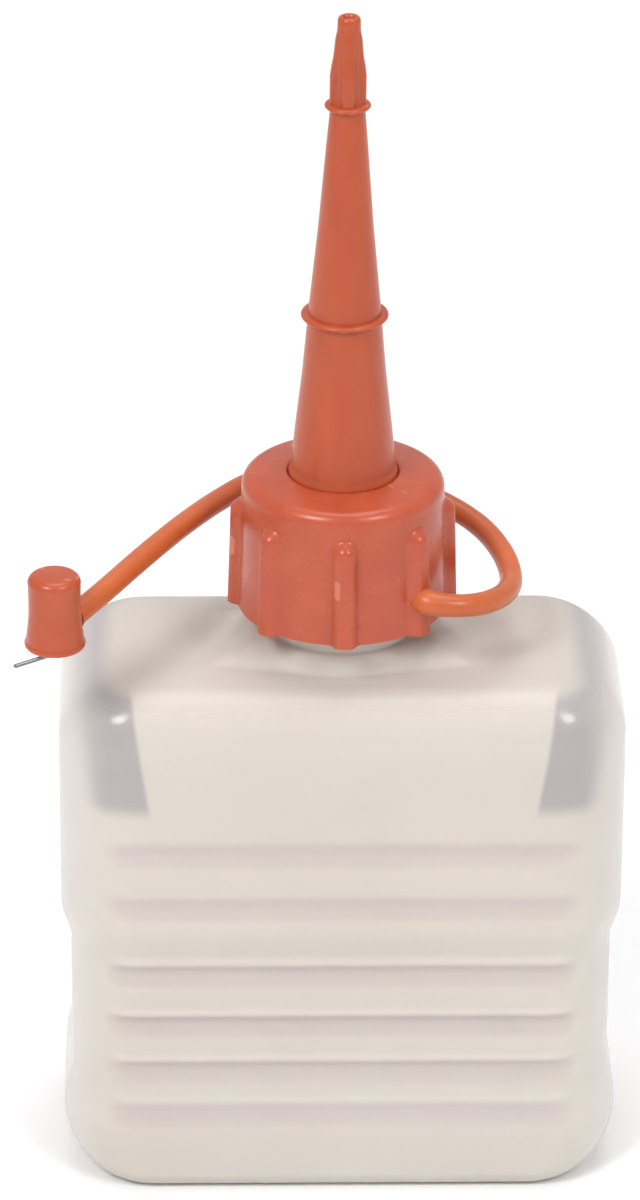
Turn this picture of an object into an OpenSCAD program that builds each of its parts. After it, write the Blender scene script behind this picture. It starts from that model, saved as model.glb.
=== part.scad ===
// Glue applicator bottle: a squeeze bottle with a threaded neck, a ribbed screw
// collar that clamps a long conical nozzle on a sealing washer, and a tip cap
// that hangs from the collar on a springy moulded strand.
// Origin: centre of the bottle's base. +Z up, -Y is the front, +X the bottle's right.

/* [Bottle] */
// Width of the bottle's body
body_w = 59.4; // [54:0.2:70]
// Depth of the bottle's body, front to back
body_d = 30; // [28:1:40]
// Height of the body up to its flat shoulder
body_h = 58.5; // [56:0.5:60]
// Radius of the four upright edges in plan
corner_r = 8; // [6:0.5:11]
// Radius that rounds the base and shoulder edges
edge_r = 5; // [3.5:0.5:5.5]
// Wall thickness of the blown bottle
wall = 1.1; // [0.9:0.1:1.4]
// How far the waist is pulled in on each side
waist_in = 0.9; // [0.4:0.1:1.2]
// Depth of the grip grooves across the two broad faces
groove_deep = 0.7; // [0.3:0.1:0.8]

/* [Neck and thread] */
// Height of the neck's rim above the base
neck_top = 73.4; // [72.5:0.1:73.4]
// Crest diameter of the neck's thread
thread_d = 17.7; // [17.5:0.1:17.9]
// Root diameter of the neck's thread
thread_root_d = 15.6; // [15.4:0.1:15.8]
// Bore diameter of the neck
neck_bore_d = 13.2; // [11:0.2:13.6]
// Rise of the thread in one turn
pitch = 3.175; // [3:0.025:3.4]
// Turns of thread on the neck and in the collar
thread_turns = 1.5; // [1:0.25:1.5]

/* [Screw collar] */
// Height of the collar's lower rim
collar_z = 63.5; // [63.2:0.1:64]
// Height of the collar's top edge
collar_top = 77.6; // [77.6:0.1:78.4]
// Rise of the collar's top from its edge to the nozzle's hole
collar_crown = 1; // [0:0.1:1.2]
// Radius over the grip ribs at the lower rim
rib_r = 12; // [11.8:0.1:13]
// Radius of the top face's edge
collar_top_r = 10.7; // [10.4:0.1:11]
// Number of grip ribs
rib_count = 8; // [6:1:10]
// Width of one rib
rib_w = 2.8; // [2:0.1:3.4]

/* [Nozzle] */
// Height of the nozzle's tip above the base
nozzle_tip_z = 128.5; // [127:0.1:131]
// Radius of the cone where it leaves the collar
nozzle_foot_r = 5.45; // [5:0.05:5.6]
// Height and radius of the lower ring
ring_low = [96.1, 4.65];
// Height and radius of the upper ring, where the tip cap stops
ring_high = [119, 2.4];
// Radius of the cone under the upper ring
cone_top_r = 1.9; // [1.7:0.05:2]
// Radius of the slim tip
tip_r = 1.15; // [1:0.05:1.3]
// Diameter of the outlet
outlet_d = 1; // [0.8:0.1:1.2]

/* [Tip cap and strand] */
// Centre of the stored tip cap's mouth
cap_at = [-29.6, -17, 66.8];
// Height of the tip cap
cap_h = 8.2; // [8:0.1:9]
// Radius of the tip cap's body
cap_r = 2.65; // [2.6:0.05:3]
// Radius of the flared mouth
cap_flare_r = 3.25; // [3.1:0.05:3.6]
// Radius of the tip cap's bore
cap_bore_r = 2; // [1.95:0.05:2.1]
// Depth of the tip cap's bore
cap_bore_h = 5.5; // [5:0.1:6]
// Diameter of the strand
strand_d = 2.4; // [2:0.1:2.6]
// Diameter of the steel clearing pin
pin_d = 0.6; // [0.4:0.1:0.7]
// How far below the tip cap's mouth the clearing pin bends aside
pin_drop = 0.9; // [0.5:0.1:1.2]

/* [Hidden] */
$fn = 64;

orange = "#d8663f";
milky = "#ddd8d0";
steel = "#8a8c8e";

// Bottle: heights of the waist, of the grip grooves, and the low cone round the neck.
waist_z = [8, 29.5];
groove_z = [9.3, 14.3, 19.9, 26, 34.6, 41];
groove_half = 23.5;
groove_r = 1.6;
base_t = 2.2;
pedestal = [[0, body_h - 1], [13.2, body_h - 1], [13.2, body_h], [11.6, 59.6], [10, 61.6],
    [9, 62.4], [0, 62.4]];

// Running gaps between pieces that turn or slide on each other.
gap = 0.1;
thread_gap = 0.25;
thread_seg = 30;
thread_crest = 0.7;
thread_base = 1.5;
thread_z = 65.6;

// Collar, nozzle flange and washer, stacked down from the collar's top face.
plate_t = 1.6;
flange_t = 1.4;
flange_r = 8.3;
washer_t = 1;
collar_bore_r = thread_d / 2 + thread_gap;
collar_hole_r = nozzle_foot_r + 0.3;
flange_top = collar_top - plate_t - gap;
flange_bottom = flange_top - flange_t;
washer_bottom = flange_bottom - washer_t;

// The strand's own route, from its root on the collar round the back to the tip
// cap, and the points where its seven lengths flex against each other.
route = [[9, -8.8, 67.4], [12, -8.8, 67.1], [14.8, -7, 66.6], [16.9, -3.6, 66], [17.7, 0.6, 65.7],
    [17, 5, 66.4], [14.9, 9.4, 67.3], [11.4, 13, 68.2], [6.6, 15.8, 69.2], [1, 16.9, 70],
    [-4.8, 15.8, 70.6], [-9.4, 12.8, 70.9], [-13, 8.6, 70.8], [-16.2, 3.8, 70.7], [-19, -0.8, 70.5],
    [-21.8, -5.4, 70.1], [-24.7, -10.2, 69.6], [-27.7, -14.7, 69]];
flex_at = [0, 2, 5, 8, 11, 14, 16, 17];
flex_gap = 0.3;
taper = 1.1;
strand_sides = 8;

// ---- shared shapes ----

// Rounded plan of the bottle, pulled in by inset.
module plan(inset) {
    w = body_w / 2 - corner_r;
    d = body_d / 2 - corner_r;
    r = corner_r - inset;
    square([2 * w + 2 * r, 2 * d], center = true);
    square([2 * w, 2 * d + 2 * r], center = true);
    for (x = [-w, w], y = [-d, d]) translate([x, y]) circle(r);
}

// Rounded block with the bottle's plan, from height lo to hi.
module block(lo, hi, inset, round_r) {
    w = body_w / 2 - corner_r;
    d = body_d / 2 - corner_r;
    hull() for (x = [-w, w], y = [-d, d], z = [lo + round_r, hi - round_r])
        translate([x, y, z]) rotate_extrude($fn = 32)
            translate([corner_r - inset - round_r, 0]) intersection() {
                circle(round_r, $fn = 24);
                translate([0, -round_r]) square([round_r, 2 * round_r]);
            }
}

// Helical ridge between radius r_root and r_crest; its two ends run out into the wall.
function ridge_ring(i, n, r_root, r_crest, z0) =
    let(k = min(1, i / 4, (n - i) / 4), z = z0 + pitch * i / thread_seg,
        r = r_root + (r_crest - r_root) * max(k, 0.05),
        b = thread_base / 2, c = thread_crest / 2)
    [[r_root, z - b], [r, z - c], [r, z + c], [r_root, z + b]];

module ridge(r_root, r_crest, z0, inward) {
    n = round(thread_turns * thread_seg);
    pts = [for (i = [0 : n], p = ridge_ring(i, n, r_root, r_crest, z0))
        let(a = 360 * i / thread_seg) [p[0] * cos(a), p[0] * sin(a), p[1]]];
    side = [for (i = [0 : n - 1], j = [0 : 3])
        let(a = 4 * i + j, b = 4 * i + (j + 1) % 4) inward
            ? [a, a + 4, b + 4, b] : [a, b, b + 4, a + 4]];
    ends = inward ? [[0, 1, 2, 3], [4 * n + 3, 4 * n + 2, 4 * n + 1, 4 * n]]
        : [[3, 2, 1, 0], [4 * n, 4 * n + 1, 4 * n + 2, 4 * n + 3]];
    polyhedron(pts, concat(side, ends), convexity = 8);
}

// Round strand along points p with radius r[i] at each point.
function unit(v) = v / norm(v);
function along(p, i) = unit(p[min(i + 1, len(p) - 1)] - p[max(i - 1, 0)]);
function ring(p, i, r) =
    let(t = along(p, i), u = unit(cross(t, [0, 0, 1])), v = cross(t, u))
    [for (k = [0 : strand_sides - 1]) let(a = 360 * k / strand_sides)
        p[i] + r * (cos(a) * u + sin(a) * v)];

module tube(p, r) {
    n = strand_sides;
    m = len(p);
    pts = [for (i = [0 : m - 1], q = ring(p, i, r[i])) q];
    sides = [for (i = [0 : m - 2], k = [0 : n - 1])
        let(a = i * n + k, b = i * n + (k + 1) % n) [a, b, b + n, a + n]];
    first = [for (k = [n - 1 : -1 : 0]) k];
    last = [for (k = [0 : n - 1]) (m - 1) * n + k];
    polyhedron(pts, concat(sides, [first, last]), convexity = 6);
}

// One length of the strand. Its free ends taper, so that the lengths can flex
// against each other without touching.
module strand_length(k) {
    a = flex_at[k];
    b = flex_at[k + 1];
    r = strand_d / 2;
    first_free = k > 0;
    last_free = k < len(flex_at) - 2;
    ta = unit(route[a + 1] - route[a]);
    tb = unit(route[b - 1] - route[b]);
    head = first_free ? [route[a] + ta * flex_gap / 2, route[a] + ta * taper] : [route[a]];
    tail = last_free ? [route[b] + tb * taper, route[b] + tb * flex_gap / 2] : [route[b]];
    mid = [for (i = [a + 1 : 1 : b - 1]) route[i]];
    head_r = first_free ? [r / 3, r] : [r];
    tail_r = last_free ? [r, r / 3] : [r];
    tube(concat(head, mid, tail), concat(head_r, [for (p = mid) r], tail_r));
}

// ---- pieces ----

// Outside of the body, or its inside when inset by the wall.
module body_form(inset) {
    block(inset, 2 * edge_r - inset, inset, edge_r - inset);
    translate([0, 0, waist_z[0]]) linear_extrude(waist_z[1] - waist_z[0] + inset) plan(waist_in + inset);
    block(waist_z[1] - edge_r + 2 * inset, body_h - inset, inset, edge_r - inset);
}

// Grip grooves with round ends, on both broad faces; grow thickens them for the inside.
module grooves(grow) {
    for (side = [-1, 1], z = groove_z) {
        face = body_d / 2 - (z < waist_z[1] ? waist_in : 0);
        translate([0, side * (face + groove_r - groove_deep), z]) {
            rotate([0, 90, 0]) cylinder(r = groove_r + grow, h = 2 * groove_half, center = true, $fn = 32);
            for (x = [-groove_half, groove_half]) translate([x, 0, 0]) sphere(groove_r + grow, $fn = 32);
        }
    }
}

module neck_outside() {
    rotate_extrude() polygon(pedestal);
    cylinder(d = thread_root_d, h = neck_top);
    ridge(thread_root_d / 2 - 0.3, thread_d / 2, thread_z, false);
}

module bottle() {
    color(milky) difference() {
        union() {
            body_form(0);
            difference() {
                neck_outside();
                translate([0, 0, -1]) cylinder(r = 2 * corner_r, h = body_h - wall + 1);
            }
        }
        difference() {
            body_form(wall);
            grooves(wall);
            translate([0, 0, base_t / 2]) cube([body_w, body_d, base_t], center = true);
        }
        translate([0, 0, body_h - 2 * wall]) cylinder(d = neck_bore_d, h = neck_top);
        grooves(0);
    }
}

module collar_blank() {
    low_r = rib_r - 0.7;
    rotate_extrude() polygon([[0, collar_z], [low_r, collar_z], [collar_top_r + 0.3, collar_top - 3],
        [collar_top_r, collar_top - 1], [collar_top_r - 0.4, collar_top - 0.3],
        [collar_top_r - 1, collar_top], [collar_hole_r + 0.4, collar_top + collar_crown],
        [0, collar_top + collar_crown]]);
    for (k = [0 : rib_count - 1]) rotate([0, 0, 360 * k / rib_count]) rib();
}

module rib() {
    rib_top = collar_top - 2.6;
    intersection() {
        translate([0, 0, collar_z]) cylinder(r1 = rib_r, r2 = rib_r - 0.55, h = rib_top - collar_z);
        translate([collar_top_r - 1.5, 0, collar_z]) {
            translate([0, -rib_w / 2, 0]) cube([4, rib_w, rib_top - collar_z - rib_w / 2]);
            translate([0, 0, rib_top - collar_z - rib_w / 2])
                rotate([0, 90, 0]) cylinder(d = rib_w, h = 4, $fn = 32);
        }
    }
}

module screw_collar() {
    color(orange) {
        difference() {
            collar_blank();
            translate([0, 0, collar_z - 1])
                cylinder(r = collar_bore_r, h = collar_top - plate_t - collar_z + 1);
            cylinder(r = collar_hole_r, h = collar_top + collar_crown + 1);
            strand_length(0);
        }
        ridge(collar_bore_r + 0.3, thread_root_d / 2 + thread_gap, thread_z + pitch / 2, true);
        // Lug that the strand grows out of, on the rib at the front right.
        difference() {
            translate([0, 0, route[0][2]]) rotate([0, 90, -45])
                translate([0, 0, 10.2]) cylinder(d = strand_d + 0.8, h = 2.4, $fn = 32);
            cylinder(r = collar_bore_r + 0.5, h = collar_top);
            strand_length(0);
        }
    }
}

module nozzle() {
    color(orange) difference() {
        union() {
            rotate_extrude() polygon([[0, flange_bottom], [flange_r, flange_bottom], [flange_r, flange_top],
                [nozzle_foot_r, flange_top], [nozzle_foot_r, collar_top], [cone_top_r, ring_high[0]],
                [tip_r + 0.15, ring_high[0] + 0.8], [tip_r + 0.1, nozzle_tip_z - 2.6],
                [tip_r, nozzle_tip_z - 0.4], [tip_r - 0.3, nozzle_tip_z], [0, nozzle_tip_z]]);
            for (g = [ring_low, ring_high]) translate([0, 0, g[0] - 0.3]) cylinder(r = g[1], h = 0.6);
            for (a = [0 : 90 : 270]) rotate([0, 0, a]) fin();
        }
        rotate_extrude() polygon([[0, flange_bottom - 1], [nozzle_foot_r - 1.1, flange_bottom - 1],
            [nozzle_foot_r - 1.1, collar_top], [cone_top_r - 0.9, ring_high[0] - 6],
            [outlet_d / 2, ring_high[0] - 3], [outlet_d / 2, nozzle_tip_z + 1], [0, nozzle_tip_z + 1]]);
    }
}

// Thin wedge that grips the tip cap from inside.
module fin() {
    z0 = ring_high[0];
    translate([0, 0.25, 0]) rotate([90, 0, 0]) linear_extrude(0.5)
        polygon([[0.8, z0], [1.7, z0], [1.7, z0 + 1.6], [tip_r + 0.1, z0 + 5.8], [0.8, z0 + 5.8]]);
}

module sealing_washer() {
    color("white") translate([0, 0, washer_bottom]) difference() {
        cylinder(r = flange_r, h = washer_t);
        translate([0, 0, -1]) cylinder(d = neck_bore_d, h = washer_t + 2);
    }
}

module tip_cap() {
    color(orange) translate(cap_at) difference() {
        rotate_extrude() polygon([[0, 0], [cap_flare_r - 0.2, 0], [cap_flare_r, 0.5],
            [cap_flare_r - 0.15, 1.2], [cap_r, 2.4], [cap_r - 0.1, cap_h / 2], [cap_r, cap_h - 0.9],
            [cap_r - 0.3, cap_h - 0.3], [cap_r - 0.9, cap_h], [0, cap_h]]);
        translate([0, 0, -1]) cylinder(r = cap_bore_r, h = cap_bore_h + 1);
        translate([0, 0, -pin_drop]) cylinder(d = pin_d, h = cap_h, $fn = 24);
    }
}

// Steel wire: straight down from the cap's roof, its end bent aside under the mouth.
module clearing_pin() {
    bend = cap_at + [0, 0, -pin_drop];
    pin_end = cap_at + [-4.3, 0, -2.4];
    color(steel) {
        translate(bend) cylinder(d = pin_d, h = cap_h, $fn = 24);
        translate(bend) sphere(d = pin_d, $fn = 24);
        reach = pin_end - bend;
        translate(bend) rotate([0, acos(reach[2] / norm(reach)), atan2(reach[1], reach[0])])
            cylinder(d = pin_d, h = norm(reach), $fn = 24);
    }
}

bottle();
screw_collar();
nozzle();
sealing_washer();
color(orange) strand_length(0);  // strand_1
color(orange) strand_length(1);  // strand_2
color(orange) strand_length(2);  // strand_3
color(orange) strand_length(3);  // strand_4
color(orange) strand_length(4);  // strand_5
color(orange) strand_length(5);  // strand_6
color(orange) strand_length(6);  // strand_7
tip_cap();
clearing_pin();
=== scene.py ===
import bmesh
import bpy
import numpy as np
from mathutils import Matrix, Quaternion, Vector


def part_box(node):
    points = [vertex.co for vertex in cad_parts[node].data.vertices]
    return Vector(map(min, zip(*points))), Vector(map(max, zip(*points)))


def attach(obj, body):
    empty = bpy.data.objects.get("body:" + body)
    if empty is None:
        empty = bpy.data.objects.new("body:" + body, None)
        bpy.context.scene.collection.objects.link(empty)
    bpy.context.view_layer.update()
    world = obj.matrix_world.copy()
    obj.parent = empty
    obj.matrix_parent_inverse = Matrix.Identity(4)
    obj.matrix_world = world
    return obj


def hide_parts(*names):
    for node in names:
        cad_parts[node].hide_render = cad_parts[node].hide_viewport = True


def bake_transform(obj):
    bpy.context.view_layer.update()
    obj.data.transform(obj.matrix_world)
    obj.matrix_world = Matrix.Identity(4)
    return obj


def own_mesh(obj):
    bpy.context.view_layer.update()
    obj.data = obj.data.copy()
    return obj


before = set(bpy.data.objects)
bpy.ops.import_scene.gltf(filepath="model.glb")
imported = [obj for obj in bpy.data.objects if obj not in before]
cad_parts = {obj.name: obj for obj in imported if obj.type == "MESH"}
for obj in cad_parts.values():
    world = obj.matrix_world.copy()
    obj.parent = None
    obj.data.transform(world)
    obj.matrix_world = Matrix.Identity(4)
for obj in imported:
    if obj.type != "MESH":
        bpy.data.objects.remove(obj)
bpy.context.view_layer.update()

# ---------------------------------------------------------------------------
# Set: a pale sheet that rises into a backdrop, a soft light on each side and one
# above, and a bright surround, with the camera looking down on the bottle.
# ---------------------------------------------------------------------------

MM = 0.001
scene = bpy.context.scene
scene.view_settings.view_transform = "Standard"


def new_mesh(name, points, faces, smooth=True):
    """A mesh object at the origin from an (n, 3) array of points and an (m, 4) or (m, 3) array of faces."""
    mesh = bpy.data.meshes.new(name)
    mesh.from_pydata(np.asarray(points, float).tolist(), [], np.asarray(faces, int).tolist())
    mesh.polygons.foreach_set("use_smooth", [smooth] * len(mesh.polygons))
    mesh.update()
    obj = bpy.data.objects.new(name, mesh)
    scene.collection.objects.link(obj)
    return obj


def grid_faces(rows, cols, close_rows=False, close_cols=True):
    """Quads of a rows x cols grid of points, stored row after row; a closed direction wraps round."""
    i = np.arange(rows if close_rows else rows - 1)[:, None]
    j = np.arange(cols if close_cols else cols - 1)[None, :]
    a = (i % rows) * cols + j % cols
    b = (i % rows) * cols + (j + 1) % cols
    c = ((i + 1) % rows) * cols + (j + 1) % cols
    d = ((i + 1) % rows) * cols + j % cols
    return np.stack(np.broadcast_arrays(a, b, c, d), -1).reshape(-1, 4)


def node_tree(name):
    """An empty node material with its Principled shader, and a function that adds a linked node."""
    material = bpy.data.materials.new(name)
    material.use_nodes = True
    tree = material.node_tree
    shader = tree.nodes["Principled BSDF"]

    def add(kind, inputs=None, **settings):
        node = tree.nodes.new(kind)
        for key, value in settings.items():
            setattr(node, key, value)
        for key, value in (inputs or {}).items():
            if isinstance(value, bpy.types.NodeSocket):
                tree.links.new(value, node.inputs[key])
            else:
                node.inputs[key].default_value = value
        return node

    return material, tree, shader, add


STAGE_HALF = 1.6
BACKDROP_R = 0.5


def backdrop_surface(rows=40, cols=9):
    """A floor that turns up behind the object: y runs back over the floor, then round a quarter circle."""
    s = np.linspace(0, 1, rows)
    flat = 0.6
    y = np.where(s < flat, -STAGE_HALF + s / flat * 2 * STAGE_HALF, 0.0)
    turn = np.clip((s - flat) / (1 - flat), 0, 1) * np.pi / 2
    y = np.where(s < flat, y, STAGE_HALF + BACKDROP_R * np.sin(turn))
    z = np.where(s < flat, 0.0, BACKDROP_R * (1 - np.cos(turn)))
    z[-1] += 1.5
    x = np.linspace(-2 * STAGE_HALF, 2 * STAGE_HALF, cols)
    return np.stack([np.tile(x, rows), np.repeat(y, cols), np.repeat(z, cols)], 1)


floor = new_mesh("stage_floor", backdrop_surface(), grid_faces(40, 9, close_cols=False))
floor_mat, tree, shader, add = node_tree("pale_sheet")
place = add("ShaderNodeTexCoord").outputs["Object"]
fleck = add("ShaderNodeTexNoise", {"Vector": place, "Scale": 40.0, "Detail": 4.0})
tint = add("ShaderNodeValToRGB", {"Fac": fleck.outputs["Fac"]})
tint.color_ramp.elements[0].color = (0.90, 0.90, 0.905, 1)
tint.color_ramp.elements[1].color = (0.94, 0.94, 0.94, 1)
tree.links.new(tint.outputs["Color"], shader.inputs["Base Color"])
shader.inputs["Roughness"].default_value = 0.9
floor.data.materials.append(floor_mat)

world = bpy.data.worlds.new("surround")
scene.world = world
world.use_nodes = True
world.node_tree.nodes["Background"].inputs["Color"].default_value = (1, 1, 1, 1)
world.node_tree.nodes["Background"].inputs["Strength"].default_value = 0.66


def soft_light(name, at, size, watts, aim=(0, 0, 0.06)):
    """A square area light at a place in metres, turned to face the object."""
    lamp = bpy.data.lights.new(name, "AREA")
    lamp.shape = "SQUARE"
    lamp.size = size
    lamp.energy = watts
    obj = bpy.data.objects.new(name, lamp)
    scene.collection.objects.link(obj)
    obj.location = at
    obj.rotation_euler = (Vector(aim) - Vector(at)).to_track_quat("-Z", "Y").to_euler()


soft_light("light_key", (-0.42, -0.5, 0.72), 0.26, 3.7)
soft_light("light_fill", (0.45, -0.5, 0.7), 0.26, 2.2)
soft_light("light_top", (0.05, 0.15, 0.9), 0.5, 2.4)

CAMERA_UP = np.radians(26.6)
CAMERA_SIDE = np.radians(-1.25)
CAMERA_ROLL = np.radians(0.4)
CAMERA_FAR = 0.6
camera_data = bpy.data.cameras.new("camera")
camera_data.lens = 171.8
camera = bpy.data.objects.new("camera", camera_data)
scene.collection.objects.link(camera)
scene.camera = camera
aim = Vector((-0.0023, 0, 0.0634))
back = Vector((np.sin(CAMERA_SIDE) * np.cos(CAMERA_UP), -np.cos(CAMERA_SIDE) * np.cos(CAMERA_UP),
               np.sin(CAMERA_UP)))
camera.location = aim + back * CAMERA_FAR
camera.rotation_mode = "QUATERNION"
camera.rotation_quaternion = Quaternion(back, CAMERA_ROLL) @ back.to_track_quat("Z", "Y")


# ---------------------------------------------------------------------------
# Bottle: blown in one piece from milky low-density polyethylene. The body is a
# rounded flat block with a pulled-in waist and six grip grooves on each broad
# face; the neck carries one and a half turns of thread for the collar.
# ---------------------------------------------------------------------------

neck_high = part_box("bottle")[1]
BODY_X = neck_high.x / MM
BODY_Y = neck_high.y / MM
NECK_Z = neck_high.z / MM
BODY_H = 58.5
CORNER = 8.0
LOW_EDGE = np.array([6.5, 2.2, 7.0])
TOP_EDGE = np.array([7.5, 5.2, 6.5])
WALL = 1.1
WAIST = 1.0
WAIST_LOW, WAIST_HIGH = 7.0, 32.0
GROOVE_Z = np.array([9.3, 14.3, 19.9, 26.0, 34.6, 41.0])
GROOVE_DEEP = np.array([0.3, 0.5, 0.6, 0.55, 0.4, 0.35])
BEAD_HIGH = np.array([0.12, 0.24, 0.28, 0.25, 0.0, 0.0])
BEAD_RISE, BEAD_HALF = 1.6, 1.1
GROOVE_HALF = 23.6
RAMP_HEIGHT = 0.05
GROOVE_R = 1.9
NECK_R, NECK_BORE, THREAD_R = 7.8, 6.6, 8.85
THREAD_Z, THREAD_TURNS, PITCH = 65.6, 1.5, 3.175


def smooth_step(x, a, b):
    """0 below a, 1 above b, and 3t^2 - 2t^3 in between."""
    t = np.clip((x - a) / (b - a), 0, 1)
    return t * t * (3 - 2 * t)


def plan_radius(turn, inset_x, inset_y):
    """Distance from the axis to a rounded rectangle in direction turn: to its flat side where the ray
    meets one, and otherwise to the corner's circle, the far root of |t*dir - centre| = radius."""
    hx, hy, r = BODY_X - inset_x, BODY_Y - inset_y, np.maximum(CORNER - (inset_x + inset_y) / 2, 0.05)
    c, s = np.abs(np.cos(turn)), np.abs(np.sin(turn))
    to_x, to_y = hx / np.maximum(c, 1e-9), hy / np.maximum(s, 1e-9)
    flat = np.minimum(to_x, to_y)
    cx, cy = hx - r, hy - r
    dot = c * cx + s * cy
    root = np.sqrt(np.maximum(dot**2 - cx**2 - cy**2 + r**2, 0))
    on_corner = (flat * c > cx) & (flat * s > cy)
    return np.where(on_corner, dot + root, flat)


def even_turns(count):
    """Directions that cut the body's outline into equal lengths, so that its long faces get their share."""
    fine = np.linspace(0, 2 * np.pi, 4001)
    radius = plan_radius(fine, 0.0, 0.0)
    x, y = radius * np.cos(fine), radius * np.sin(fine)
    run = np.concatenate([[0], np.cumsum(np.hypot(np.diff(x), np.diff(y)))])
    return np.interp(np.arange(count) / count * run[-1], run, fine)


def groove_depth(x, z):
    """Depth of the grip grooves at a point of a broad face: each is a cosine trough round the segment
    from -GROOVE_HALF to GROOVE_HALF at its height, so that its ends are round. The lower four have a
    narrow bead of BEAD_HIGH along their upper lip."""
    depth = np.zeros(np.broadcast(x, z).shape)
    past = np.maximum(np.abs(x) - GROOVE_HALF, 0)
    for height, deep, bead in zip(GROOVE_Z, GROOVE_DEEP, BEAD_HIGH):
        away = np.hypot(past, z - height) / GROOVE_R
        depth += deep * np.where(away < 1, 0.5 + 0.5 * np.cos(np.pi * away), 0)
        away = np.hypot(past, z - height - BEAD_RISE) / BEAD_HALF
        depth -= bead * np.where(away < 1, 0.5 + 0.5 * np.cos(np.pi * away), 0)
    return depth


def thread_height(turn, z):
    """Height of the helical ridge: a smooth tooth across z, centred on z0 + pitch * turns, which fades
    in and out over an eighth of a turn."""
    wound = (z - THREAD_Z) / PITCH
    lag = np.mod(turn / (2 * np.pi) - wound + 0.5, 1) - 0.5
    at = wound + lag
    tooth = smooth_step(0.26 - np.abs(lag), 0, 0.13)
    return tooth * smooth_step(at, 0, 0.12) * smooth_step(THREAD_TURNS - at, 0, 0.12)


def arc(n, start, stop):
    """n angles between start and stop degrees, in radians."""
    return np.radians(np.linspace(start, stop, n))


def bottle_rows(inset, fine):
    """Rows of the body from the base's centre to the neck: for each, the share of the plan, the plan's
    insets along x and y, the circle's radius and the height. The edges are quarter ellipses, wider
    along x than along y, where the base's is a quarter circle."""
    low, high = inset, BODY_H - inset
    low_x, low_y, low_z = LOW_EDGE - inset
    top_x, top_y, top_z = TOP_EDGE - inset
    neck = NECK_R if inset == 0 else NECK_BORE

    def row_block(share, inset_x, inset_y, circle, z):
        return np.stack(np.broadcast_arrays(share, inset_x, inset_y, circle, z), 1)

    base = np.linspace(0, 1, 9)
    a = arc(25, 0, 90)[1:]
    out = 1 - np.sin(a)
    rest = np.clip(1 - low_z * (1 - np.cos(a)) / low_y, 0, 1)
    tuck = 1 - np.sqrt(1 - rest**2)
    z = np.linspace(low + low_z, high - top_z, fine)[1:-1]
    pulled = inset + WAIST * smooth_step(z, WAIST_LOW, WAIST_LOW + 6) \
        * (1 - smooth_step(z, WAIST_HIGH - 4.5, WAIST_HIGH))
    b = arc(15, 0, 90)
    over = 1 - np.cos(b)
    m = np.linspace(0, 1, 22)[1:]
    slope = 1.9 * smooth_step(m, 0.5, 1.0) + 0.7 * m
    return np.concatenate([
        row_block(base, inset + low_x, inset + low_y, 0.0, low + 0.8 * (1 - smooth_step(base, 0.55, 0.92))),
        row_block(1.0, inset + low_x * out, inset + low_y * tuck, 0.0, low + low_z * (1 - np.cos(a))),
        row_block(1.0, pulled, pulled, 0.0, z),
        row_block(1.0, inset + top_x * over, inset + top_y * over, 0.0, high - top_z * (1 - np.sin(b))),
        row_block(1 - m, inset + top_x, inset + top_y, m * neck, high + slope)])


def bottle_surface(cols=240):
    """Outside from the base's centre up to the neck's rim, then down the inside to the inner base.
    Radius is share * plan + circle; grooves push the broad faces in along y, and the thread stands
    out from the neck."""
    turn = even_turns(cols)[None, :]
    outer = bottle_rows(0.0, 150)
    inner = bottle_rows(WALL, 48)[::-1]
    neck_z = np.concatenate([np.linspace(outer[-1, 4] + 0.2, NECK_Z - 0.4, 56), [NECK_Z - 0.1, NECK_Z]])
    neck_r = np.concatenate([np.full(56, NECK_R), [NECK_R - 0.1, NECK_R - 0.4]])
    bore_z = np.concatenate([[NECK_Z, NECK_Z - 0.1], np.linspace(NECK_Z - 0.5, inner[0, 4] + 0.3, 12)])
    bore_r = np.concatenate([[NECK_BORE + 0.4, NECK_BORE + 0.1], np.full(12, NECK_BORE)])
    neck = np.stack([np.zeros(58), np.zeros(58), np.zeros(58), neck_r, neck_z], 1)
    bore = np.stack([np.zeros(14), np.zeros(14), np.zeros(14), bore_r, bore_z], 1)
    rows = np.concatenate([outer, neck, bore, inner])
    share, inset_x, inset_y, circle, z = (rows[:, k][:, None] for k in range(5))
    radius = share * plan_radius(turn, inset_x, inset_y) + circle
    on_neck = np.zeros(len(rows), bool)
    on_neck[len(outer): len(outer) + 58] = True
    radius = radius + np.where(on_neck[:, None], (THREAD_R - NECK_R) * thread_height(turn, z), 0)
    x, y = radius * np.cos(turn), radius * np.sin(turn)
    z = z + 0 * turn
    face = smooth_step(np.abs(y), BODY_Y - 5.5, BODY_Y - 3.0) * (z < BODY_H - 6)
    y = y - np.sign(y) * groove_depth(x, z) * face
    points = np.stack([x, y, z], -1).reshape(-1, 3)
    faces = grid_faces(len(rows), cols)
    return points * MM, faces


points, faces = bottle_surface()
bottle = new_mesh("bottle_shell", points, faces)


def clean_mesh(obj):
    """Merges doubled points, such as the rows that shrink to a pole, and drops the slivers they leave."""
    work = bmesh.new()
    work.from_mesh(obj.data)
    bmesh.ops.remove_doubles(work, verts=work.verts, dist=1e-6)
    bmesh.ops.dissolve_degenerate(work, edges=work.edges, dist=1e-7)
    bmesh.ops.recalc_face_normals(work, faces=work.faces)
    work.to_mesh(obj.data)
    work.free()
    obj.data.polygons.foreach_set("use_smooth", [True] * len(obj.data.polygons))
    obj.data.update()


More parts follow.
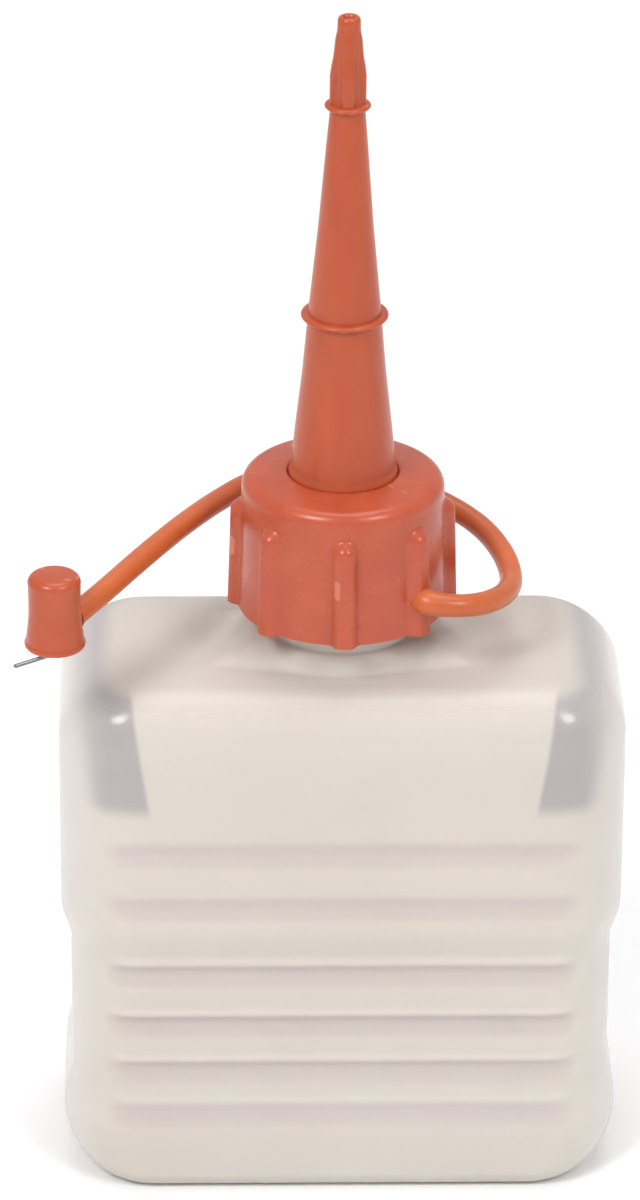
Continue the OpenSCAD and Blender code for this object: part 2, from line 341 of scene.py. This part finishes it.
clean_mesh(bottle)
milk_mat, tree, shader, add = node_tree("milky_polyethylene")
place = add("ShaderNodeTexCoord").outputs["Object"]
cloud = add("ShaderNodeTexNoise", {"Vector": place, "Scale": 30.0, "Detail": 3.0, "Roughness": 0.5})
tint = add("ShaderNodeValToRGB", {"Fac": cloud.outputs["Fac"]})
tint.color_ramp.elements[0].position = 0.3
tint.color_ramp.elements[0].color = (0.80, 0.735, 0.66, 1)
tint.color_ramp.elements[1].position = 0.75
tint.color_ramp.elements[1].color = (0.85, 0.79, 0.715, 1)
axes = add("ShaderNodeSeparateXYZ", {"Vector": place})


def multiplied(a, b):
    """The product of two shader values."""
    return add("ShaderNodeMath", {0: a, 1: b}, operation="MULTIPLY").outputs["Value"]


def band(value, rise, fall):
    """1 where value lies between the two steps, which are (start, end) in metres, and 0 outside them."""
    up = add("ShaderNodeMapRange", {"Value": value, "From Min": rise[0], "From Max": rise[1]},
             interpolation_type="SMOOTHSTEP")
    down = add("ShaderNodeMapRange", {"Value": value, "From Min": fall[0], "From Max": fall[1], "To Min": 1.0,
                                      "To Max": 0.0}, interpolation_type="SMOOTHSTEP")
    return multiplied(up.outputs["Result"], down.outputs["Result"])


side = add("ShaderNodeMath", {0: axes.outputs["X"]}, operation="ABSOLUTE").outputs["Value"]
slant = add("ShaderNodeMath", {0: axes.outputs["Z"], 1: 0.15, 2: 0.0129}, operation="MULTIPLY_ADD")
from_panel = add("ShaderNodeMath", {0: side, 1: slant.outputs["Value"]}, operation="SUBTRACT").outputs["Value"]
# Painted reflection: grey is multiplied into the upper front corners and, faintly, into the shoulder, standing
# in for the grey room reflected in them.
corner = multiplied(band(from_panel, (0.0, 0.0007), (0.0050, 0.0078)),
                    band(axes.outputs["Z"], (0.0450, 0.0472), (0.0576, 0.0586)))
shoulder = multiplied(band(axes.outputs["Z"], (0.0560, 0.0590), (0.0800, 0.0810)), 0.12)
painted_grey_reflection = add("ShaderNodeMath", {0: corner, 1: shoulder}, operation="MAXIMUM").outputs["Value"]
painted_grey_mix = add("ShaderNodeMix", data_type="RGBA", blend_type="MULTIPLY")
tree.links.new(painted_grey_reflection, painted_grey_mix.inputs["Factor"])
tree.links.new(tint.outputs["Color"], painted_grey_mix.inputs["A"])
painted_grey_mix.inputs["B"].default_value = (0.66, 0.67, 0.75, 1)
# Painted shade and highlight: each grip groove is tinted darker across the broad faces, and the bead above each
# of the lower four is painted lighter.
up_the_face = add("ShaderNodeMath", {0: axes.outputs["Z"], 1: 1 / RAMP_HEIGHT}, operation="MULTIPLY")
groove_shade_ramp = add("ShaderNodeValToRGB", {"Fac": up_the_face.outputs["Value"]})
plain = (1, 1, 1, 1)
for height, bead in zip(GROOVE_Z, BEAD_HIGH):
    for rise, colour in ((-2.4, plain), (0.0, (0.93, 0.90, 0.96, 1)), (0.8, (0.92, 0.89, 0.94, 1)),
                         (1.9, (1.06, 1.06, 1.06, 1) if bead else plain), (2.5, plain)):
        groove_shade_ramp.color_ramp.elements.new((height + rise) * MM / RAMP_HEIGHT).color = colour
groove_shade_ramp.color_ramp.elements[0].color = groove_shade_ramp.color_ramp.elements[-1].color = plain
groove_shade_mix = add("ShaderNodeMix", data_type="RGBA", blend_type="MULTIPLY")
tree.links.new(band(side, (-0.0020, -0.0010), (0.0225, 0.0255)), groove_shade_mix.inputs["Factor"])
tree.links.new(painted_grey_mix.outputs["Result"], groove_shade_mix.inputs["A"])
tree.links.new(groove_shade_ramp.outputs["Color"], groove_shade_mix.inputs["B"])
# Painted light: the faces from about 24 mm off the middle outwards are mixed toward a pale pink, standing in
# for light on the rounded sides.
painted_pale_sides = add("ShaderNodeMix", data_type="RGBA")
tree.links.new(multiplied(band(side, (0.0240, 0.0290), (0.0600, 0.0610)), 0.6), painted_pale_sides.inputs["Factor"])
tree.links.new(groove_shade_mix.outputs["Result"], painted_pale_sides.inputs["A"])
painted_pale_sides.inputs["B"].default_value = (0.90, 0.83, 0.81, 1)
tree.links.new(painted_pale_sides.outputs["Result"], shader.inputs["Base Color"])
skin = add("ShaderNodeTexNoise", {"Vector": place, "Scale": 900.0, "Detail": 3.0})
sag = add("ShaderNodeTexNoise", {"Vector": place, "Scale": 60.0, "Detail": 2.0})
fine = add("ShaderNodeBump", {"Height": skin.outputs["Fac"], "Strength": 0.06, "Distance": 0.0002})
wave = add("ShaderNodeBump", {"Height": sag.outputs["Fac"], "Strength": 0.2, "Distance": 0.0015,
                              "Normal": fine.outputs["Normal"]})
tree.links.new(wave.outputs["Normal"], shader.inputs["Normal"])
gloss = add("ShaderNodeMapRange", {"Value": cloud.outputs["Fac"], "To Min": 0.14, "To Max": 0.26})
matt = add("ShaderNodeMath", {0: shoulder, 1: 2.2, 2: gloss.outputs["Result"]}, operation="MULTIPLY_ADD")
tree.links.new(matt.outputs["Value"], shader.inputs["Roughness"])
shader.inputs["IOR"].default_value = 1.51
shader.inputs["Transmission Weight"].default_value = 0.35
shader.inputs["Subsurface Weight"].default_value = 0.5
shader.inputs["Subsurface Radius"].default_value = (1.0, 0.9, 0.8)
shader.inputs["Subsurface Scale"].default_value = 0.002
bottle.data.materials.append(milk_mat)
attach(bottle, "bottle")
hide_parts("bottle")


# ---------------------------------------------------------------------------
# Sealing washer: a die-cut disc of closed-cell polyethylene foam between the
# neck's rim and the nozzle's flange. The CAD disc is right, and gets its foam.
# ---------------------------------------------------------------------------

foam_mat, tree, shader, add = node_tree("white_foam")
place = add("ShaderNodeTexCoord").outputs["Object"]
cells = add("ShaderNodeTexVoronoi", {"Vector": place, "Scale": 3500.0})
tint = add("ShaderNodeValToRGB", {"Fac": cells.outputs["Distance"]})
tint.color_ramp.elements[0].color = (0.86, 0.86, 0.84, 1)
tint.color_ramp.elements[1].color = (0.74, 0.74, 0.71, 1)
tree.links.new(tint.outputs["Color"], shader.inputs["Base Color"])
pores = add("ShaderNodeBump", {"Height": cells.outputs["Distance"], "Strength": 0.3, "Distance": 0.0001})
tree.links.new(pores.outputs["Normal"], shader.inputs["Normal"])
shader.inputs["Roughness"].default_value = 0.75
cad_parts["sealing_washer"].data.materials[0] = foam_mat


# ---------------------------------------------------------------------------
# Nozzle: a long hollow cone moulded in orange polyethylene, with a clamping
# flange under the collar, two thin rings, and four wedges that grip the tip cap.
# ---------------------------------------------------------------------------

nozzle_low, nozzle_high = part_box("nozzle")
FLANGE_Z, TIP_Z = nozzle_low.z / MM, nozzle_high.z / MM
FLANGE_R = nozzle_high.x / MM
FLANGE_T = 1.4
CONE = np.array([[75, 5.7], [78.7, 5.7], [79.1, 5.48], [84, 4.97], [90, 4.3], [96.8, 3.72], [105.7, 2.85],
                 [115.6, 2.05], [119, 1.75], [120, 1.45], [123, 1.35], [126, 1.22], [128.4, 1.16]])
RING_Z, RING_R = np.array([96.1, 119.0]), np.array([4.5, 2.35])
RING_HALF = 0.34
NOZZLE_WALL = 1.1
OUTLET_R = 0.5
FIN_R, FIN_HALF = 1.86, 0.55
FIN_STEPS = [0, 3.2, 4.2, 5.2, 7.2, 8.4]
LEAN, LEAN_FROM = 0.22, 80


def lathe_points(profile, turn):
    """Points of a profile of (radius, height) turned round the axis, one row for each point of it."""
    radius, z = profile[:, 0][:, None], profile[:, 1][:, None]
    return radius * np.cos(turn), radius * np.sin(turn), z + 0 * turn


def nozzle_profile():
    """The nozzle's wall as a closed outline: round the flange, up the cone over the rings, which are
    half-ellipse beads of half height RING_HALF, round the tip, and down the bore."""
    top = FLANGE_Z + FLANGE_T
    foot = np.interp(top, CONE[:, 0], CONE[:, 1])
    flange = np.array([[foot - NOZZLE_WALL, FLANGE_Z], [FLANGE_R - 0.2, FLANGE_Z], [FLANGE_R, FLANGE_Z + 0.2],
                       [FLANGE_R, top - 0.2], [FLANGE_R - 0.2, top], [foot + 0.2, top]])
    beads = [height + RING_HALF * np.sin(np.linspace(-np.pi / 2, np.pi / 2, 19)) for height in RING_Z]
    z = np.sort(np.concatenate([np.linspace(top + 0.2, TIP_Z - 0.5, 170), *beads]))
    r = np.interp(z, CONE[:, 0], CONE[:, 1])
    for height, reach in zip(RING_Z, RING_R):
        bead = np.sqrt(np.maximum(1 - ((z - height) / RING_HALF) ** 2, 0))
        r = r + (reach - r) * bead
    a = arc(7, 0, 90)[1:]
    rim = np.stack([r[-1] - 0.35 * (1 - np.cos(a)), TIP_Z - 0.5 + 0.5 * np.sin(a)], 1)
    z_in = np.linspace(TIP_Z - 0.2, TIP_Z - 12.3, 14)
    throat = np.stack([np.full(14, OUTLET_R), z_in], 1)
    throat[0, 0] += 0.08
    z_low = np.linspace(TIP_Z - 15.3, FLANGE_Z + 0.1, 26)
    hollow = np.stack([np.interp(z_low, CONE[:, 0], CONE[:, 1]) - NOZZLE_WALL, z_low], 1)
    return np.concatenate([flange, np.stack([r, z], 1), rim, throat, hollow]), len(flange) + len(z)


def nozzle_surface(cols=160):
    """The turned outline, with four wedges added outside above the upper ring: each is a ridge of half
    width FIN_HALF, whose height falls in steps to the tip. The whole leans by LEAN at the tip, in a
    parabola from LEAN_FROM up."""
    turn = np.linspace(0, 2 * np.pi, cols, endpoint=False)[None, :]
    profile, outside = nozzle_profile()
    x, y, z = lathe_points(profile, turn)
    radius = np.hypot(x, y)
    off = np.mod(turn + np.pi / 4, np.pi / 2) - np.pi / 4
    away = np.abs(radius * np.sin(off))
    wedge = smooth_step(FIN_HALF + 0.15 - away, 0, 0.3)
    crest = np.interp(z - RING_Z[1], FIN_STEPS, [FIN_R, FIN_R, FIN_R - 0.12, 1.55, 1.36, 1.1])
    on_tip = (np.arange(len(z))[:, None] < outside) & (z > RING_Z[1]) & (crest > radius)
    grown = np.where(on_tip, radius + (crest - radius) * wedge, radius)
    lean = LEAN * np.clip((z - LEAN_FROM) / (TIP_Z - LEAN_FROM), 0, 1) ** 2
    x, y = grown * np.cos(turn) + lean, grown * np.sin(turn)
    return np.stack([x, y, z], -1).reshape(-1, 3) * MM, grid_faces(len(profile), cols, close_rows=True)


def orange_plastic(name, deep, light, rough, flow=(1, 1, 1), edge_highlight=0.5):
    """Orange polyethylene straight from the mould: colour drifts between deep and light in clouds and flow
    marks, sharp edges are painted paler as a highlight, and a fine mould texture breaks up the gloss."""
    material, tree, shader, add = node_tree(name)
    place = add("ShaderNodeTexCoord").outputs["Object"]
    stretch = add("ShaderNodeMapping", {"Vector": place, "Scale": flow})
    cloud = add("ShaderNodeTexNoise", {"Vector": stretch.outputs["Vector"], "Scale": 260.0, "Detail": 5.0})
    tint = add("ShaderNodeValToRGB", {"Fac": cloud.outputs["Fac"]})
    tint.color_ramp.elements[0].position, tint.color_ramp.elements[1].position = 0.3, 0.72
    tint.color_ramp.elements[0].color = (*deep, 1)
    tint.color_ramp.elements[1].color = (*light, 1)
    # Painted highlight: sharp edges, found by pointiness, are mixed toward a paler orange.
    edge = add("ShaderNodeNewGeometry").outputs["Pointiness"]
    edge_highlight_mask = add("ShaderNodeMapRange", {"Value": edge, "From Min": 0.535, "From Max": 0.6, "To Max": edge_highlight})
    pale = tuple(0.6 * c + 0.4 * p for c, p in zip(light, (0.9, 0.5, 0.35)))
    mixed = add("ShaderNodeMix", data_type="RGBA")
    tree.links.new(edge_highlight_mask.outputs["Result"], mixed.inputs["Factor"])
    tree.links.new(tint.outputs["Color"], mixed.inputs["A"])
    mixed.inputs["B"].default_value = (*pale, 1)
    tree.links.new(mixed.outputs["Result"], shader.inputs["Base Color"])
    grain = add("ShaderNodeTexNoise", {"Vector": place, "Scale": 2600.0, "Detail": 3.0})
    ripple = add("ShaderNodeTexNoise", {"Vector": stretch.outputs["Vector"], "Scale": 330.0, "Detail": 2.0})
    fine = add("ShaderNodeBump", {"Height": grain.outputs["Fac"], "Strength": 0.12, "Distance": 0.00006})
    wave = add("ShaderNodeBump", {"Height": ripple.outputs["Fac"], "Strength": 0.16, "Distance": 0.0002,
                                  "Normal": fine.outputs["Normal"]})
    tree.links.new(wave.outputs["Normal"], shader.inputs["Normal"])
    gloss = add("ShaderNodeMapRange", {"Value": cloud.outputs["Fac"], "To Min": rough - 0.06,
                                       "To Max": rough + 0.08})
    tree.links.new(gloss.outputs["Result"], shader.inputs["Roughness"])
    shader.inputs["IOR"].default_value = 1.5
    shader.inputs["Subsurface Weight"].default_value = 0.25
    shader.inputs["Subsurface Radius"].default_value = (1.0, 0.35, 0.15)
    shader.inputs["Subsurface Scale"].default_value = 0.0008
    return material


points, faces = nozzle_surface()
nozzle = new_mesh("nozzle_cone", points, faces)
clean_mesh(nozzle)
nozzle.data.set_sharp_from_angle(angle=np.radians(50))
nozzle.data.materials.append(orange_plastic("orange_nozzle", (0.40, 0.058, 0.015), (0.47, 0.082, 0.02), 0.3,
                                            (1, 1, 0.3)))
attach(nozzle, "nozzle")
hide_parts("nozzle")


# ---------------------------------------------------------------------------
# Screw collar: a stout ring moulded in the same orange. Its plate clamps the
# nozzle's flange, eight round-topped ribs give grip, and a thread runs inside.
# ---------------------------------------------------------------------------

collar_low, collar_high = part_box("screw_collar")
CROWN = 0.4
RIM_Z, PLATE_Z = collar_low.z / MM, collar_high.z / MM - CROWN
SKIRT_LOW_R, SKIRT_HIGH_R = 10.95, 10.5
PLATE_EDGE = 1.4
RIB_COUNT, RIB_W, RIB_OUT = 8, 2.9, 1.05
RIB_TOP = PLATE_Z - 2.9
HOLE_R = 5.75
PLATE_T = 1.6
COLLAR_BORE_R, COLLAR_CREST_R = 9.1, 8.05


def collar_profile():
    """The collar's wall as a closed outline: up the skirt, round the top's edge, up the shallow cone to
    the nozzle's hole, through it and down the bore."""
    z = np.linspace(RIM_Z + 0.25, PLATE_Z - PLATE_EDGE, 80)
    skirt = np.stack([SKIRT_LOW_R + (SKIRT_HIGH_R - SKIRT_LOW_R) * (z - RIM_Z) / (PLATE_Z - RIM_Z), z], 1)
    a = arc(12, 0, 90)[1:]
    edge = np.stack([skirt[-1, 0] - PLATE_EDGE * (1 - np.cos(a)), PLATE_Z - PLATE_EDGE * (1 - np.sin(a))], 1)
    m = np.linspace(0, 1, 14)[1:]
    plate = np.stack([edge[-1, 0] + (HOLE_R + 0.3 - edge[-1, 0]) * m, PLATE_Z + CROWN * m ** 0.85], 1)
    under = PLATE_Z - PLATE_T
    hole = np.array([[HOLE_R + 0.08, PLATE_Z + CROWN - 0.07], [HOLE_R, PLATE_Z + CROWN - 0.25], [HOLE_R, under],
                     [COLLAR_BORE_R - 0.2, under], [COLLAR_BORE_R, under - 0.2]])
    down = np.linspace(under - 0.4, RIM_Z + 0.3, 60)
    bore = np.stack([np.full(60, COLLAR_BORE_R), down], 1)
    foot = np.array([[COLLAR_BORE_R + 0.2, RIM_Z], [SKIRT_LOW_R - 0.2, RIM_Z], [SKIRT_LOW_R, RIM_Z + 0.1]])
    return np.concatenate([skirt, edge, plate, hole, bore, foot]), len(skirt)


def collar_surface(cols=480):
    """The turned outline, with ribs and thread added to its radius. A rib is a band of half width
    RIB_W / 2 round a line that ends half a width under RIB_TOP, so its top is round. Between the ribs
    the wall eases from round at the top to the flats of an octagon at the rim."""
    turn = np.linspace(0, 2 * np.pi, cols, endpoint=False)[None, :]
    profile, outside = collar_profile()
    x, y, z = lathe_points(profile, turn)
    radius = np.hypot(x, y)
    share = 2 * np.pi / RIB_COUNT
    aside = SKIRT_LOW_R * (np.mod(turn + share / 2, share) - share / 2)
    above = np.maximum(z - (RIB_TOP - RIB_W / 2), 0)
    rib = smooth_step(RIB_W / 2 + 0.1 - np.hypot(aside, above), 0, 1.1) ** 0.7
    row = np.arange(len(z))[:, None]
    on_skin = (row < outside) | (row >= len(z) - 2)
    in_bore = (profile[:, :1] == COLLAR_BORE_R) & ~on_skin
    thread = thread_height(turn, z - PITCH / 2)
    corner = (SKIRT_LOW_R + 0.5 * RIB_OUT) * np.cos(share / 2) / np.cos(np.mod(turn, share) - share / 2)
    down = smooth_step(PLATE_Z - z, 3.0, PLATE_Z - RIM_Z)
    wall = np.maximum(radius + RIB_OUT * rib, radius + (corner - SKIRT_LOW_R) * down)
    radius = np.where(on_skin, wall, radius) - np.where(in_bore, (COLLAR_BORE_R - COLLAR_CREST_R) * thread, 0)
    points = np.stack([radius * np.cos(turn), radius * np.sin(turn), z], -1)
    return points.reshape(-1, 3) * MM, grid_faces(len(profile), cols, close_rows=True)


points, faces = collar_surface()
collar = new_mesh("collar_ring", points, faces)
clean_mesh(collar)
collar.data.set_sharp_from_angle(angle=np.radians(60))
collar.data.materials.append(orange_plastic("orange_collar", (0.43, 0.068, 0.028), (0.48, 0.085, 0.033), 0.26))
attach(collar, "collar")
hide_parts("screw_collar")


# ---------------------------------------------------------------------------
# Strand: a round moulded string that grows out of the collar, swings round the back and carries the tip cap.
# Seven stretches, cut apart at its flex points.
# ---------------------------------------------------------------------------

STRAND_R = 1.2
ROUTE = np.array([
    [7.6, -7.5, 67.5], [9, -8.8, 67.4], [12, -8.8, 67.1], [14.8, -7, 66.6], [16.9, -3.6, 66], [17.7, 0.6, 65.7],
    [17, 5, 66.4], [14.9, 9.4, 67.3], [11.4, 13, 68.2], [6.6, 15.8, 69.2], [1, 16.9, 70], [-4.8, 15.8, 70.6],
    [-9.4, 12.8, 70.9], [-13, 8.6, 70.8], [-16.2, 3.8, 70.7], [-19, -0.8, 70.5], [-21.8, -5.4, 70.1],
    [-24.7, -10.2, 69.6], [-27.7, -14.7, 69], [-28.0, -15.06, 68.92]])
CUTS = [0, 4.5, 7.5, 10.5, 13.5, 16, 17 + 1 / 12, 19]
SPAN_STEPS = 12


def smooth_route(points, steps):
    """A Catmull-Rom curve through the points, with steps short chords to each span."""
    p = np.vstack([2 * points[0] - points[1], points, 2 * points[-1] - points[-2]])
    a, b, c, d = p[:-3, None], p[1:-2, None], p[2:-1, None], p[3:, None]
    t = np.linspace(0, 1, steps, endpoint=False)[None, :, None]
    curve = 0.5 * (2 * b + (c - a) * t + (2 * a - 5 * b + 4 * c - d) * t**2 + (3 * b - a - 3 * c + d) * t**3)
    return np.vstack([curve.reshape(-1, 3), points[-1]])


def tube_surface(path, radius, sides, up):
    """Rings of the given radius round the path, each square to it, with a flat disc on both ends."""
    along = np.gradient(path, axis=0)
    across = np.cross(along, up)
    across /= np.linalg.norm(across, axis=1, keepdims=True)
    third = np.cross(along / np.linalg.norm(along, axis=1, keepdims=True), across)
    pad = np.r_[0, np.arange(len(path)), len(path) - 1]
    radius = np.r_[0, radius, 0][:, None, None]
    a = np.linspace(0, 2 * np.pi, sides, endpoint=False)[None, :, None]
    points = path[pad][:, None] + radius * (np.cos(a) * across[pad][:, None] + np.sin(a) * third[pad][:, None])
    return points.reshape(-1, 3) * MM, grid_faces(len(pad), sides)


strand_line = smooth_route(ROUTE, SPAN_STEPS)
place_on = np.arange(len(strand_line)) / SPAN_STEPS
flare = 0.2 * (1 - smooth_step(place_on, 0.6, 1.9)) + 0.25 * smooth_step(place_on, 18.0, 18.8)
strand_mat = orange_plastic("orange_strand", (0.48, 0.1, 0.026), (0.56, 0.13, 0.036), 0.32, edge_highlight=0.0)
for k in range(len(CUTS) - 1):
    keep = (place_on >= CUTS[k] - 1e-6) & (place_on <= CUTS[k + 1] + 1e-6)
    points, faces = tube_surface(strand_line[keep], STRAND_R + flare[keep], 40, (0, 0, 1))
    piece = new_mesh(f"strand_length_{k + 1}", points, faces)
    clean_mesh(piece)
    piece.data.set_sharp_from_angle(angle=np.radians(50))
    piece.data.materials.append(strand_mat)
    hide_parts(f"strand_{k + 1}")
    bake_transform(piece)


# ---------------------------------------------------------------------------
# Tip cap: a small moulded thimble with a domed top and a flared mouth, which
# pushes over the nozzle's tip. It ends the strand.
# ---------------------------------------------------------------------------

cap_low, cap_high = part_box("tip_cap")
CAP_X, CAP_Y = ((cap_low + cap_high) / 2 / MM).xy
MOUTH_Z, CAP_TOP_Z = cap_low.z / MM, cap_high.z / MM
CAP_H = CAP_TOP_Z - MOUTH_Z
CAP_R, CAP_FLARE_R, CAP_BORE_R, CAP_BORE_H = 2.72, 3.12, 2.12, 5.5


def cap_profile():
    """Outline from the centre of the domed top down the waisted side to the flared mouth, and up the
    bore to the centre of its roof."""
    a = arc(14, 90, 0)
    dome = np.stack([CAP_R - 0.9 + 0.9 * np.cos(a), CAP_H - 1.0 + 0.9 * np.sin(a)], 1)
    r = np.linspace(0, CAP_R - 0.95, 7)
    top = np.stack([r, CAP_H - 0.1 * (r / r[-1]) ** 2], 1)
    z = np.linspace(CAP_H - 1.1, 0.55, 44)
    flare = (CAP_FLARE_R - CAP_R) * (1 - smooth_step(z, -1.5, 4.5))
    side = CAP_R - 0.06 * np.sin(np.pi * z / CAP_H) + flare
    side[-1] = CAP_FLARE_R
    a = arc(8, 0, -90)[1:]
    lip = np.stack([CAP_FLARE_R - 0.4 + 0.4 * np.cos(a), 0.4 + 0.4 * np.sin(a)], 1)
    bore = np.array([[CAP_BORE_R + 0.25, 0], [CAP_BORE_R + 0.05, 0.15], [CAP_BORE_R, 0.4], [CAP_BORE_R, 2.5],
                     [CAP_BORE_R, CAP_BORE_H - 0.3], [CAP_BORE_R - 0.3, CAP_BORE_H],
                     [CAP_BORE_R / 2, CAP_BORE_H], [0, CAP_BORE_H]])
    return np.concatenate([top, dome, np.stack([side, z], 1), lip, bore])


turn = np.linspace(0, 2 * np.pi, 96, endpoint=False)[None, :]
profile = cap_profile()
x, y, z = lathe_points(profile, turn)
points = np.stack([CAP_X + x, CAP_Y + y, MOUTH_Z + z], -1).reshape(-1, 3) * MM
tip_cap = new_mesh("cap_thimble", points, grid_faces(len(profile), 96))
clean_mesh(tip_cap)
tip_cap.data.set_sharp_from_angle(angle=np.radians(50))
tip_cap.data.materials.append(orange_plastic("orange_cap", (0.41, 0.066, 0.02), (0.47, 0.082, 0.026), 0.3))
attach(tip_cap, "tip_cap")
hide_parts("tip_cap")


# ---------------------------------------------------------------------------
# Clearing pin: a piece of drawn steel wire pressed into the tip cap's roof,
# which keeps the outlet open. Its end is bent aside, and rides with the cap.
# ---------------------------------------------------------------------------

PIN_R = 0.22
PIN_ROOT, PIN_BEND, PIN_END = 7.0, -0.9, (-4.3, -2.4)


def pin_line():
    """Straight down the cap's axis, round a quadratic curve (1-t)^2 a + 2t(1-t) b + t^2 c at the bend, and
    out to the free end, in millimetres."""
    down = np.stack([np.zeros(30), np.linspace(PIN_ROOT, PIN_BEND + 0.7, 30)], 1)
    run = np.array([PIN_END[0], PIN_END[1] - PIN_BEND])
    run /= np.hypot(*run)
    t = np.linspace(0, 1, 14)[1:-1, None]
    a, b, c = np.array([0, PIN_BEND + 0.7]), np.array([0, PIN_BEND]), np.array([0, PIN_BEND]) + 0.7 * run
    bend = (1 - t) ** 2 * a + 2 * t * (1 - t) * b + t**2 * c
    out = c + (np.array(PIN_END) - c) * np.linspace(0, 1, 18)[:, None]
    flat = np.concatenate([down, bend, out])
    return np.stack([CAP_X + flat[:, 0], np.full(len(flat), CAP_Y), MOUTH_Z + flat[:, 1]], 1)


path = pin_line()
reach = np.linalg.norm(path - path[-1], axis=1)
thin = np.sqrt(np.clip(reach / PIN_R, 0.02, 1) * (2 - np.clip(reach / PIN_R, 0.02, 1)))
points, faces = tube_surface(path, PIN_R * thin, 24, (0, 1, 0))
pin = new_mesh("pin_wire", points, faces)
clean_mesh(pin)
pin.data.set_sharp_from_angle(angle=np.radians(60))
steel_mat, tree, shader, add = node_tree("drawn_steel")
place = add("ShaderNodeTexCoord").outputs["Object"]
drawn = add("ShaderNodeMapping", {"Vector": place, "Scale": (1, 1, 0.08)})
lines = add("ShaderNodeTexNoise", {"Vector": drawn.outputs["Vector"], "Scale": 5000.0, "Detail": 3.0})
tint = add("ShaderNodeValToRGB", {"Fac": lines.outputs["Fac"]})
tint.color_ramp.elements[0].color = (0.12, 0.12, 0.125, 1)
tint.color_ramp.elements[1].color = (0.34, 0.34, 0.35, 1)
tree.links.new(tint.outputs["Color"], shader.inputs["Base Color"])
gloss = add("ShaderNodeMapRange", {"Value": lines.outputs["Fac"], "To Min": 0.25, "To Max": 0.5})
tree.links.new(gloss.outputs["Result"], shader.inputs["Roughness"])
scored = add("ShaderNodeBump", {"Height": lines.outputs["Fac"], "Strength": 0.15, "Distance": 0.00003})
tree.links.new(scored.outputs["Normal"], shader.inputs["Normal"])
shader.inputs["Metallic"].default_value = 1.0
pin.data.materials.append(steel_mat)
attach(pin, "tip_cap")
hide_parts("clearing_pin")
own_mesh(pin)
